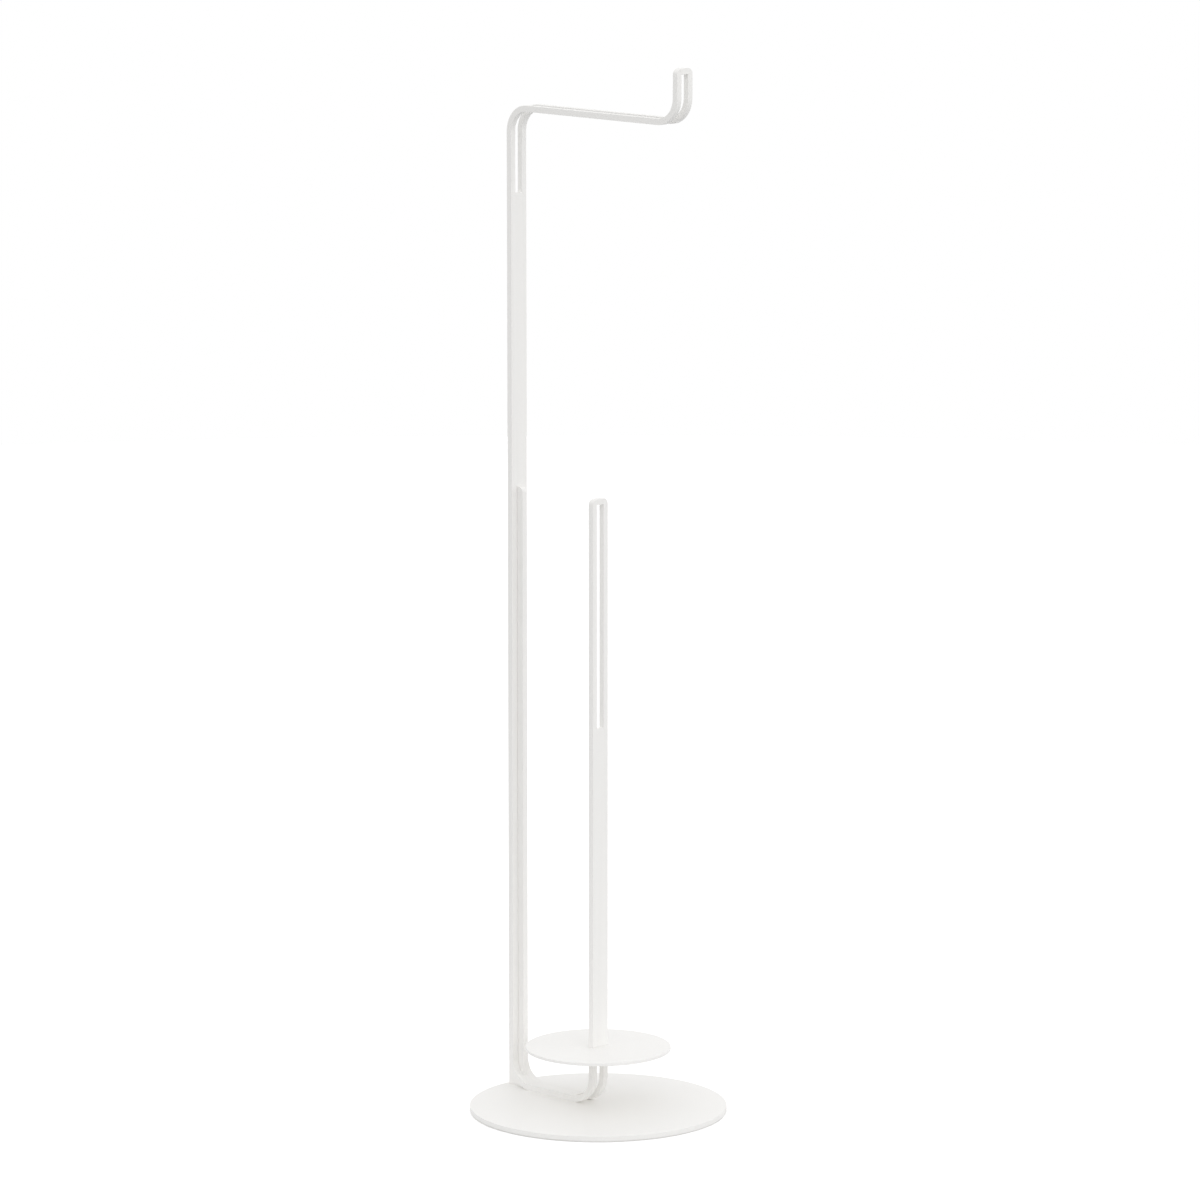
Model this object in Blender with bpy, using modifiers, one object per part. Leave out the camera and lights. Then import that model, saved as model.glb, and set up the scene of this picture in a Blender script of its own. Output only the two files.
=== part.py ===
"""Freestanding toilet paper holder, modelled in metres with +Z up.

The holder is a flat steel bar bent into a tall hook, which carries the roll in use, and a short spindle
for spare rolls. A second flat bar stands on edge in the slotted post, and a thin round shelf carries the
spare rolls above the round base plate.

The origin is on the floor at the centre of the base. +X runs along the arm, from the post to the hook.
"""

import math

import bmesh
import bpy
from mathutils import Vector

# Fit between pieces
SEAT_GAP = 0.0003
CUT_OVERRUN = 0.0010

# Base plate and the pad under it
BASE_DIAMETER = 0.1700
BASE_THICKNESS = 0.0031
BASE_RIM_ROUND = 0.0004
PAD_SETBACK = 0.0003
PAD_THICKNESS = 0.0006

# Flat bar stock, shared by the frame bar and the stiffener
BAR_WIDTH = 0.0140
BAR_THICKNESS = 0.0040
BAR_TIP_RADIUS = 0.0040
BEND_INNER_RADIUS = 0.0140

# Frame bar, with heights from the top of the base plate
POST_REACH = 0.0755
HOOK_REACH = 0.0760
ARM_TOP_HEIGHT = 0.6586
HOOK_TIP_HEIGHT = 0.6916
SPINDLE_HEIGHT = 0.4060

# Slots in the frame bar
SLOT_WIDTH = 0.0060
SLOT_CORNER_RADIUS = 0.0008
POST_SLOT_FOOT_HEIGHT = 0.6000
SPINDLE_SLOT_FOOT_HEIGHT = 0.2535
FOOT_SLOT_LEAD = 0.0015
SHELF_SLOT_LAND = 0.0040

# Shelf for the spare rolls, with its height from the top of the base plate
SHELF_DIAMETER = 0.0960
SHELF_THICKNESS = 0.0020
SHELF_TOP_HEIGHT = 0.0396
SHELF_RIM_ROUND = 0.0003

# Countersunk screws that hold the foot of the frame bar from below
SCREW_SPACING = 0.0240
SCREW_SHANK_DIAMETER = 0.0040
SCREW_HEAD_DIAMETER = 0.0078
SCREW_HEAD_HEIGHT = 0.0022
SCREW_HEAD_RECESS = 0.0002
SCREW_LENGTH = 0.0051
SCREW_POINT_CHAMFER = 0.0004
SCREW_SOCKET_SIZE = 0.0025
SCREW_SOCKET_DEPTH = 0.0012
SCREW_SOCKET_SIDES = 6
SCREW_HOLE_EXTRA_DEPTH = 0.0004

# Fineness of the round shapes
DISC_SEGMENTS = 128
BEND_STEPS = 12
TIP_STEPS = 6
SLOT_CORNER_STEPS = 3
SCREW_SEGMENTS = 32
RIM_ROUND_STEPS = 2
SHARP_ANGLE = math.radians(30.0)
FLAT_ANGLE = math.radians(0.01)
WELD_DISTANCE = 0.00001
QUARTER_TURN = math.radians(90.0)

# Sizes worked out from the driving dimensions above
BAR_HALF_THICKNESS = BAR_THICKNESS / 2
BEND_RADIUS = BEND_INNER_RADIUS + BAR_HALF_THICKNESS
SLOT_SIDE_LAND = (BAR_WIDTH - SLOT_WIDTH) / 2
PAD_DIAMETER = BASE_DIAMETER - 2 * PAD_SETBACK
BASE_BOTTOM_Z = PAD_THICKNESS + SEAT_GAP
BASE_TOP_Z = BASE_BOTTOM_Z + BASE_THICKNESS
FOOT_BOTTOM_Z = BASE_TOP_Z + SEAT_GAP
FOOT_Z = FOOT_BOTTOM_Z + BAR_HALF_THICKNESS
ARM_Z = BASE_TOP_Z + ARM_TOP_HEIGHT - BAR_HALF_THICKNESS
HOOK_TIP_Z = BASE_TOP_Z + HOOK_TIP_HEIGHT
SPINDLE_TIP_Z = BASE_TOP_Z + SPINDLE_HEIGHT
SHELF_BOTTOM_Z = BASE_TOP_Z + SHELF_TOP_HEIGHT - SHELF_THICKNESS
SCREW_BOTTOM_Z = BASE_BOTTOM_Z + SCREW_HEAD_RECESS
STIFFENER_BACK_X = -POST_REACH - BAR_WIDTH / 2
STIFFENER_FRONT_X = -POST_REACH + BAR_WIDTH / 2


class BentPath:
    """Centre line of a bent bar in the XZ plane: straight runs joined by quarter bends of one radius.

    A place on the line is its distance along it from the start, as on the flat strip before bending.
    """

    def __init__(self, corners, radius):
        self.radius = radius
        self.pieces = []
        self.run_starts = []
        self.bend_starts = []
        self.length = 0.0
        points = [Vector(corner) for corner in corners]
        for index in range(len(points) - 1):
            heading = (points[index + 1] - points[index]).normalized()
            start = points[index] + heading * (radius if index > 0 else 0.0)
            last_run = index == len(points) - 2
            end = points[index + 1] - heading * (0.0 if last_run else radius)
            self.run_starts.append(self.length)
            self._add("run", start, heading, (end - start).length, 0.0)
            if not last_run:
                next_heading = (points[index + 2] - points[index + 1]).normalized()
                turn = math.copysign(1.0, heading.cross(next_heading))
                self.bend_starts.append(self.length)
                self._add("bend", end, heading, radius * QUARTER_TURN, turn)

    def _add(self, kind, start, heading, length, turn):
        self.pieces.append((kind, start, heading, self.length, length, turn))
        self.length += length

    def point_at(self, station):
        """Return the point of the centre line at a station."""
        for kind, start, heading, first, length, turn in self.pieces:
            if station <= first + length or first + length >= self.length:
                break
        travelled = station - first
        if kind == "run":
            return start + heading * travelled
        to_centre = Vector((-heading.y, heading.x)) * turn
        centre = start + to_centre * self.radius
        angle = travelled / self.radius
        return centre + (heading * math.sin(angle) - to_centre * math.cos(angle)) * self.radius

    def stations(self, first_station, last_station):
        """Return the stations that an outline between two places needs: ends, tangent points, bend steps."""
        places = [first_station]
        for kind, _, _, first, length, _ in self.pieces:
            steps = BEND_STEPS if kind == "bend" else 1
            for step in range(steps + 1):
                place = first + length * step / steps
                if places[-1] + WELD_DISTANCE < place < last_station - WELD_DISTANCE:
                    places.append(place)
        places.append(last_station)
        return places

    def points(self, first_station, last_station):
        """Return the points of the centre line between two places."""
        return [self.point_at(station) for station in self.stations(first_station, last_station)]


def frame_path():
    """Return the centre line of the frame bar, from the hook's tip to the spindle's tip."""
    corners = [
        (HOOK_REACH, HOOK_TIP_Z),
        (HOOK_REACH, ARM_Z),
        (-POST_REACH, ARM_Z),
        (-POST_REACH, FOOT_Z),
        (0.0, FOOT_Z),
        (0.0, SPINDLE_TIP_Z),
    ]
    return BentPath(corners, BEND_RADIUS)


def clear_scene():
    """Remove every object, so that the holder stands alone."""
    for obj in list(bpy.data.objects):
        bpy.data.objects.remove(obj, do_unlink=True)


def new_collection(name):
    """Return a new collection in the scene."""
    collection = bpy.data.collections.new(name)
    bpy.context.scene.collection.children.link(collection)
    return collection


def new_material(name, colour, roughness, metallic=0.0):
    """Return a Principled material."""
    material = bpy.data.materials.new(name)
    material.use_nodes = True
    shader = material.node_tree.nodes["Principled BSDF"]
    shader.inputs["Base Color"].default_value = (*colour, 1.0)
    shader.inputs["Roughness"].default_value = roughness
    shader.inputs["Metallic"].default_value = metallic
    return material


def powder_coat(name):
    """Return a matt white powder coat."""
    return new_material(name, (0.84, 0.84, 0.83), 0.62)


def pad_rubber(name):
    """Return the matt white solid rubber of the pad."""
    return new_material(name, (0.80, 0.80, 0.79), 0.8)


def zinc_plate(name):
    """Return the zinc-plated steel of the screws."""
    return new_material(name, (0.62, 0.63, 0.65), 0.35, 1.0)


def link(obj, collection):
    """Put an object into one collection only."""
    for owner in list(obj.users_collection):
        owner.objects.unlink(obj)
    collection.objects.link(obj)
    return obj


def mark_as_cutter(obj, collection):
    """Show an object as a wire guide that is left out of the model."""
    link(obj, collection)
    obj.hide_render = True
    obj.display_type = "WIRE"
    return obj


def add_cylinder(name, diameter, bottom_z, height, segments, place=(0.0, 0.0)):
    """Return an upright cylinder that stands on bottom_z."""
    bpy.ops.mesh.primitive_cylinder_add(
        vertices=segments,
        radius=diameter / 2,
        depth=height,
        location=(place[0], place[1], bottom_z + height / 2),
    )
    obj = bpy.context.object
    obj.name = name
    return obj


def add_cone(name, bottom_diameter, top_diameter, bottom_z, height, segments, place):
    """Return an upright cone that stands on bottom_z."""
    bpy.ops.mesh.primitive_cone_add(
        vertices=segments,
        radius1=bottom_diameter / 2,
        radius2=top_diameter / 2,
        depth=height,
        location=(place[0], place[1], bottom_z + height / 2),
    )
    obj = bpy.context.object
    obj.name = name
    return obj


def mesh_from_side_curve(name, points, width, closed):
    """Return a mesh object from points in the XZ plane, spread evenly to both sides in Y.

    A closed outline becomes a solid of that width, and an open line becomes a ribbon of that width.
    """
    curve = bpy.data.curves.new(name + "_line", "CURVE")
    curve.dimensions = "2D"
    curve.fill_mode = "BOTH" if closed else "NONE"
    curve.extrude = width / 2
    spline = curve.splines.new("POLY")
    spline.points.add(len(points) - 1)
    for point, place in zip(spline.points, points):
        point.co = (place.x, place.y, 0.0, 1.0)
    spline.use_cyclic_u = closed
    guide = bpy.data.objects.new(name + "_guide", curve)
    guide.rotation_euler = (QUARTER_TURN, 0.0, 0.0)
    bpy.context.scene.collection.objects.link(guide)
    bpy.context.view_layer.update()
    evaluated = guide.evaluated_get(bpy.context.evaluated_depsgraph_get())
    mesh = bpy.data.meshes.new_from_object(evaluated)
    mesh.name = name
    obj = bpy.data.objects.new(name, mesh)
    obj.matrix_world = guide.matrix_world
    bpy.data.objects.remove(guide, do_unlink=True)
    bpy.data.curves.remove(curve)
    return obj


def add_side_solid(name, outline, width):
    """Return a solid with a side outline in the XZ plane, its flat sides one face each."""
    obj = mesh_from_side_curve(name, outline, width, True)
    work = bmesh.new()
    work.from_mesh(obj.data)
    bmesh.ops.remove_doubles(work, verts=work.verts, dist=WELD_DISTANCE)
    bmesh.ops.dissolve_limit(work, angle_limit=FLAT_ANGLE, verts=work.verts, edges=work.edges)
    bmesh.ops.recalc_face_normals(work, faces=work.faces)
    work.to_mesh(obj.data)
    work.free()
    return obj


def add_ribbon(name, points, width, corner_radius, corner_steps):
    """Return an open ribbon along a line in the XZ plane, with its four corners rounded."""
    obj = mesh_from_side_curve(name, points, width, False)
    work = bmesh.new()
    work.from_mesh(obj.data)
    bmesh.ops.remove_doubles(work, verts=work.verts, dist=WELD_DISTANCE)
    corners = [vert for vert in work.verts if len(vert.link_faces) == 1]
    bmesh.ops.bevel(
        work,
        geom=corners,
        offset=corner_radius,
        offset_type="OFFSET",
        segments=corner_steps,
        profile=0.5,
        affect="VERTICES",
    )
    work.to_mesh(obj.data)
    work.free()
    return obj


def thicken(obj, thickness):
    """Give an open surface an even thickness, half to each side, with a modifier."""
    modifier = obj.modifiers.new("thickness", "SOLIDIFY")
    modifier.thickness = thickness
    modifier.offset = 0.0
    modifier.use_even_offset = True


def join_cutters(name, shapes, collection):
    """Join cutters that don't touch into one, and remove the single ones."""
    bpy.context.view_layer.update()
    work = bmesh.new()
    for shape in shapes:
        first_new = len(work.verts)
        work.from_mesh(shape.data)
        work.verts.ensure_lookup_table()
        bmesh.ops.transform(work, matrix=shape.matrix_world, verts=work.verts[first_new:])
        bpy.data.objects.remove(shape, do_unlink=True)
    mesh = bpy.data.meshes.new(name)
    work.to_mesh(mesh)
    work.free()
    return mark_as_cutter(bpy.data.objects.new(name, mesh), collection)


def cut(obj, cutter):
    """Take a cutter's shape out of an object, and close up the cut's doubled points, with modifiers."""
    modifier = obj.modifiers.new("cut_" + cutter.name, "BOOLEAN")
    modifier.operation = "DIFFERENCE"
    modifier.solver = "EXACT"
    modifier.object = cutter
    weld = obj.modifiers.new("weld_" + cutter.name, "WELD")
    weld.merge_threshold = WELD_DISTANCE


def round_edges(obj, width, steps):
    """Ease the sharp edges of an object with a modifier."""
    modifier = obj.modifiers.new("edge_round", "BEVEL")
    modifier.width = width
    modifier.segments = steps
    modifier.limit_method = "ANGLE"
    modifier.angle_limit = SHARP_ANGLE


def finish(obj, material):
    """Give an object its material and smooth shading between its sharp edges."""
    obj.data.materials.clear()
    obj.data.materials.append(material)
    obj.data.shade_smooth()
    obj.data.set_sharp_from_angle(angle=SHARP_ANGLE)


def screw_places():
    """Return the places of the screws, centred on the plain stretch of the foot."""
    first_x = STIFFENER_FRONT_X
    last_x = -BEND_RADIUS - FOOT_SLOT_LEAD
    middle_x = (first_x + last_x) / 2
    return [(middle_x - SCREW_SPACING / 2, 0.0), (middle_x + SCREW_SPACING / 2, 0.0)]


def post_slot_end_angle():
    """Return how far round the foot bend the post's lower slot runs, from the post's side.

    The slot ends just in front of the stiffener, measured on the inner side of the bend.
    """
    bend_centre_x = -POST_REACH + BEND_RADIUS
    reach = bend_centre_x - (STIFFENER_FRONT_X + SEAT_GAP)
    return math.acos(reach / BEND_INNER_RADIUS)


def slot_stations(path):
    """Return the start and end of each slot, by name, as places along the frame bar."""
    post_start, spindle_start = path.run_starts[2], path.run_starts[4]
    foot_bend_start, spindle_bend_start = path.bend_starts[2], path.bend_starts[3]
    post_start_z = ARM_Z - BEND_RADIUS
    spindle_start_z = FOOT_Z + BEND_RADIUS
    shelf_slot_top_z = SHELF_BOTTOM_Z - SHELF_SLOT_LAND
    return {
        "arm_slot": (
            SLOT_SIDE_LAND,
            post_start + post_start_z - (BASE_TOP_Z + POST_SLOT_FOOT_HEIGHT),
        ),
        "post_slot": (
            post_start + post_start_z - (SPINDLE_TIP_Z + SEAT_GAP),
            foot_bend_start + post_slot_end_angle() * BEND_RADIUS,
        ),
        "foot_slot": (
            spindle_bend_start - FOOT_SLOT_LEAD,
            spindle_start + shelf_slot_top_z - spindle_start_z,
        ),
        "spindle_slot": (
            spindle_start + BASE_TOP_Z + SPINDLE_SLOT_FOOT_HEIGHT - spindle_start_z,
            path.length - SLOT_SIDE_LAND,
        ),
    }


def make_floor_pad():
    """Return the thin pad that is stuck under the base plate."""
    pad = add_cylinder("floor_pad", PAD_DIAMETER, 0.0, PAD_THICKNESS, DISC_SEGMENTS)
    finish(pad, pad_rubber("pad_rubber"))
    return pad


def add_screw_holes(name, bottom_z, top_z, collection):
    """Return one cutter with a round hole for each screw."""
    holes = [
        add_cylinder(
            f"{name}_{number}",
            SCREW_SHANK_DIAMETER + 2 * SEAT_GAP,
            bottom_z,
            top_z - bottom_z,
            SCREW_SEGMENTS,
            place,
        )
        for number, place in enumerate(screw_places(), start=1)
    ]
    return join_cutters(name, holes, collection)


def add_countersinks(name, collection):
    """Return one cutter with a cone for each screw's head."""
    hole_diameter = SCREW_SHANK_DIAMETER + 2 * SEAT_GAP
    slope = (SCREW_HEAD_DIAMETER - SCREW_SHANK_DIAMETER) / SCREW_HEAD_HEIGHT
    mouth_diameter = SCREW_HEAD_DIAMETER + 2 * SEAT_GAP + slope * (SCREW_HEAD_RECESS + CUT_OVERRUN)
    sinks = [
        add_cone(
            f"{name}_{number}",
            mouth_diameter,
            hole_diameter,
            BASE_BOTTOM_Z - CUT_OVERRUN,
            SCREW_HEAD_HEIGHT + SCREW_HEAD_RECESS + CUT_OVERRUN,
            SCREW_SEGMENTS,
            place,
        )
        for number, place in enumerate(screw_places(), start=1)
    ]
    return join_cutters(name, sinks, collection)


def make_base_plate(cutters):
    """Return the round base plate, with countersunk holes for the screws."""
    plate = add_cylinder("base_plate", BASE_DIAMETER, BASE_BOTTOM_Z, BASE_THICKNESS, DISC_SEGMENTS)
    round_edges(plate, BASE_RIM_ROUND, RIM_ROUND_STEPS)
    cut(
        plate,
        add_screw_holes(
            "base_screw_holes", BASE_BOTTOM_Z - CUT_OVERRUN, BASE_TOP_Z + CUT_OVERRUN, cutters
        ),
    )
    cut(plate, add_countersinks("base_countersinks", cutters))
    finish(plate, powder_coat("base_plate_coat"))
    return plate


def slot_width(name):
    """Return a slot's width: the post's slot fits the stiffener, and the others are wider."""
    return BAR_THICKNESS + 2 * SEAT_GAP if name == "post_slot" else SLOT_WIDTH


def add_slots(path, collection):
    """Return one cutter with every slot of the frame bar, each following the bar through its bends."""
    slots = [
        add_ribbon(name, path.points(first, last), slot_width(name), SLOT_CORNER_RADIUS, SLOT_CORNER_STEPS)
        for name, (first, last) in slot_stations(path).items()
    ]
    cutter = join_cutters("frame_slots", slots, collection)
    thicken(cutter, BAR_THICKNESS + 2 * CUT_OVERRUN)
    return cutter


def make_frame_bar(cutters):
    """Return the bent bar that is hook, arm, post, foot and spindle in one, with its slots."""
    path = frame_path()
    bar = add_ribbon("frame_bar", path.points(0.0, path.length), BAR_WIDTH, BAR_TIP_RADIUS, TIP_STEPS)
    thicken(bar, BAR_THICKNESS)
    cut(bar, add_slots(path, cutters))
    hole_top_z = SCREW_BOTTOM_Z + SCREW_LENGTH + SCREW_HOLE_EXTRA_DEPTH
    cut(bar, add_screw_holes("foot_screw_holes", FOOT_BOTTOM_Z - CUT_OVERRUN, hole_top_z, cutters))
    finish(bar, powder_coat("frame_bar_coat"))
    return bar


def stiffener_outline():
    """Return the side outline of the stiffener, from its back foot round to its cut front foot.

    Its lower front corner is cut off along the end of the post's slot, a seat gap away from it.
    """
    bottom_z = BASE_TOP_Z + SEAT_GAP
    top_z = SPINDLE_TIP_Z
    points = [Vector((STIFFENER_BACK_X, bottom_z))]
    for centre_x, first_angle in (
        (STIFFENER_BACK_X + BAR_TIP_RADIUS, 2 * QUARTER_TURN),
        (STIFFENER_FRONT_X - BAR_TIP_RADIUS, QUARTER_TURN),
    ):
        centre = Vector((centre_x, top_z - BAR_TIP_RADIUS))
        for step in range(TIP_STEPS + 1):
            angle = first_angle - QUARTER_TURN * step / TIP_STEPS
            points.append(centre + Vector((math.cos(angle), math.sin(angle))) * BAR_TIP_RADIUS)
    bend_centre = Vector((-POST_REACH + BEND_RADIUS, FOOT_Z + BEND_RADIUS))
    end_angle = post_slot_end_angle()
    radial = Vector((-math.cos(end_angle), -math.sin(end_angle)))
    back = Vector((radial.y, -radial.x))
    on_cut = bend_centre + back * SEAT_GAP
    front_share = (STIFFENER_FRONT_X - on_cut.x) / radial.x
    bottom_share = (bottom_z - on_cut.y) / radial.y
    points.append(on_cut + radial * front_share)
    points.append(on_cut + radial * bottom_share)
    return points


def make_post_stiffener():
    """Return the flat bar that stands on edge in the post's lower slot."""
    bar = add_side_solid("post_stiffener", stiffener_outline(), BAR_THICKNESS)
    finish(bar, powder_coat("post_stiffener_coat"))
    return bar


def make_roll_shelf(cutters):
    """Return the thin round shelf, with a hole that fits round the spindle."""
    shelf = add_cylinder("roll_shelf", SHELF_DIAMETER, SHELF_BOTTOM_Z, SHELF_THICKNESS, DISC_SEGMENTS)
    round_edges(shelf, SHELF_RIM_ROUND, RIM_ROUND_STEPS)
    bpy.ops.mesh.primitive_cube_add(size=1.0, location=(0.0, 0.0, SHELF_BOTTOM_Z + SHELF_THICKNESS / 2))
    hole = bpy.context.object
    hole.name = "shelf_spindle_hole"
    hole.scale = (
        BAR_THICKNESS + 2 * SEAT_GAP,
        BAR_WIDTH + 2 * SEAT_GAP,
        SHELF_THICKNESS + 2 * CUT_OVERRUN,
    )
    cut(shelf, mark_as_cutter(hole, cutters))
    finish(shelf, powder_coat("roll_shelf_coat"))
    return shelf


def screw_profile():
    """Return the half section of a screw, from its tip on the axis down to its head on the axis."""
    head_radius = SCREW_HEAD_DIAMETER / 2
    shank_radius = SCREW_SHANK_DIAMETER / 2
    return [
        (0.0, SCREW_LENGTH),
        (shank_radius - SCREW_POINT_CHAMFER, SCREW_LENGTH),
        (shank_radius, SCREW_LENGTH - SCREW_POINT_CHAMFER),
        (shank_radius, SCREW_HEAD_HEIGHT),
        (head_radius, 0.0),
        (0.0, 0.0),
    ]


def make_screw_blank():
    """Return the mesh of one turned screw with a six-sided socket, head down on its own origin."""
    mesh = bpy.data.meshes.new("screw_blank")
    work = bmesh.new()
    section = [work.verts.new((radius, 0.0, height)) for radius, height in screw_profile()]
    edges = [work.edges.new(pair) for pair in zip(section, section[1:])]
    bmesh.ops.spin(
        work,
        geom=section + edges,
        axis=(0.0, 0.0, 1.0),
        cent=(0.0, 0.0, 0.0),
        steps=SCREW_SEGMENTS,
        angle=4 * QUARTER_TURN,
    )
    bmesh.ops.remove_doubles(work, verts=work.verts, dist=WELD_DISTANCE)
    bmesh.ops.recalc_face_normals(work, faces=work.faces)
    work.to_mesh(mesh)
    work.free()
    return mesh


def make_base_screw(name, place, blank, cutters):
    """Return one countersunk screw, which shares its turned mesh with the other."""
    screw = bpy.data.objects.new(name, blank)
    screw.location = (place[0], place[1], SCREW_BOTTOM_Z)
    bpy.context.scene.collection.objects.link(screw)
    socket = add_cylinder(
        name + "_socket",
        SCREW_SOCKET_SIZE / math.cos(2 * QUARTER_TURN / SCREW_SOCKET_SIDES),
        SCREW_BOTTOM_Z - CUT_OVERRUN,
        SCREW_SOCKET_DEPTH + CUT_OVERRUN,
        SCREW_SOCKET_SIDES,
        place,
    )
    cut(screw, mark_as_cutter(socket, cutters))
    return screw


def make_base_screws(cutters):
    """Return the two screws, the one nearer the post first."""
    blank = make_screw_blank()
    names = ("base_screw_post_side", "base_screw_spindle_side")
    screws = [
        make_base_screw(name, place, blank, cutters)
        for name, place in zip(names, screw_places())
    ]
    finish(screws[0], zinc_plate("screw_zinc"))
    return screws


def main():
    """Build the holder."""
    clear_scene()
    holder = new_collection("freestanding_toilet_paper_holder")
    cutters = new_collection("cutters")
    root = bpy.data.objects.new("holder_root", None)
    holder.objects.link(root)
    pieces = [
        make_floor_pad(),
        make_base_plate(cutters),
        make_frame_bar(cutters),
        make_post_stiffener(),
        make_roll_shelf(cutters),
        *make_base_screws(cutters),
    ]
    for piece in pieces:
        link(piece, holder)
        piece.parent = root


main()
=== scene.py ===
"""Looks of the freestanding toilet paper holder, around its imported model, in metres with +Z up.

Every piece is modelled again on the bench with eased edges and a procedural finish: the bent flat
bar with its slots, the stiffener in the post, the roll shelf, the base plate, and the pad and the
screws below it.
"""

import logging
import math
from collections.abc import Callable, Iterator
from contextlib import contextmanager
from dataclasses import dataclass, field
from enum import Enum

import bmesh
import bpy
from mathutils import Matrix, Vector


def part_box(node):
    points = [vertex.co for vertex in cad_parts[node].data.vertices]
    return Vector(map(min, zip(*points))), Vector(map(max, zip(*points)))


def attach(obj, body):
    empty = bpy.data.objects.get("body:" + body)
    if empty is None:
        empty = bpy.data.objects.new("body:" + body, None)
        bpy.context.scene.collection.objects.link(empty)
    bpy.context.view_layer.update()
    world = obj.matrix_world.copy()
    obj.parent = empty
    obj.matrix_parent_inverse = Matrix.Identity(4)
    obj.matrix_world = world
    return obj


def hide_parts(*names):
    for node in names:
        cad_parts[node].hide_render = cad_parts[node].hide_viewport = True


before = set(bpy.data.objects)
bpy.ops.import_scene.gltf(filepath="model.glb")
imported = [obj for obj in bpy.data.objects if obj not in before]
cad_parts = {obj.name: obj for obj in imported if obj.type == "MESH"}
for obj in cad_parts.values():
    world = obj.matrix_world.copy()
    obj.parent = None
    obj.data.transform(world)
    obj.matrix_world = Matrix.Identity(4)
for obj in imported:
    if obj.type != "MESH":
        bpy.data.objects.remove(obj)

log = logging.getLogger("holder")

BODY = "root"
MM_PER_M = 1000
QUARTER_TURN = math.radians(90)
UP = Vector((0, 0, 1))
ACROSS = Vector((0, 1, 0))
ALONG = Vector((1, 0, 0))

# Points closer together than this are one point.
TOUCH = 0.00001
# Faces that meet at a larger angle than this, in degrees, have a sharp edge between them.
SHARP_ANGLE = 50
# The flats of an eased edge, and of a bend by a quarter turn.
EASED_STEPS = 3
BEND_STEPS = 24
# The bevel's profile for a round corner.
ROUND = 0.5
# The weight with which large faces lead the shading of the small ones beside them.
LARGE_FACE_WEIGHT = 100
# Between these limits lie most values of a noise.
NOISE_RANGE = (0.3, 0.7)
# From the pointiness of a flat face to that of a rounded edge.
EDGE_POINTINESS = (0.51, 0.60)

Material = bpy.types.Material
Socket = bpy.types.NodeSocket
Colour = tuple[float, float, float]
Test = Callable[[list[Vector]], bool]

BLACK: Colour = (0.0, 0.0, 0.0)
WHITE: Colour = (1.0, 1.0, 1.0)


class Element(Enum):
    """What a selection in edit mode is made of."""

    POINT = "VERT"
    LINE = "EDGE"
    FACE = "FACE"


class Slot(Enum):
    """The record's material slots."""

    POWDER_COAT = "powder_coat"
    PAD_RUBBER = "pad_rubber"
    SCREW_STEEL = "screw_steel"


class Blend(Enum):
    """What a mix node blends: its data type, and the numbers of its two inputs and its output."""

    NUMBER = ("FLOAT", 2, 3, 0)
    COLOUR = ("RGBA", 6, 7, 2)


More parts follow.
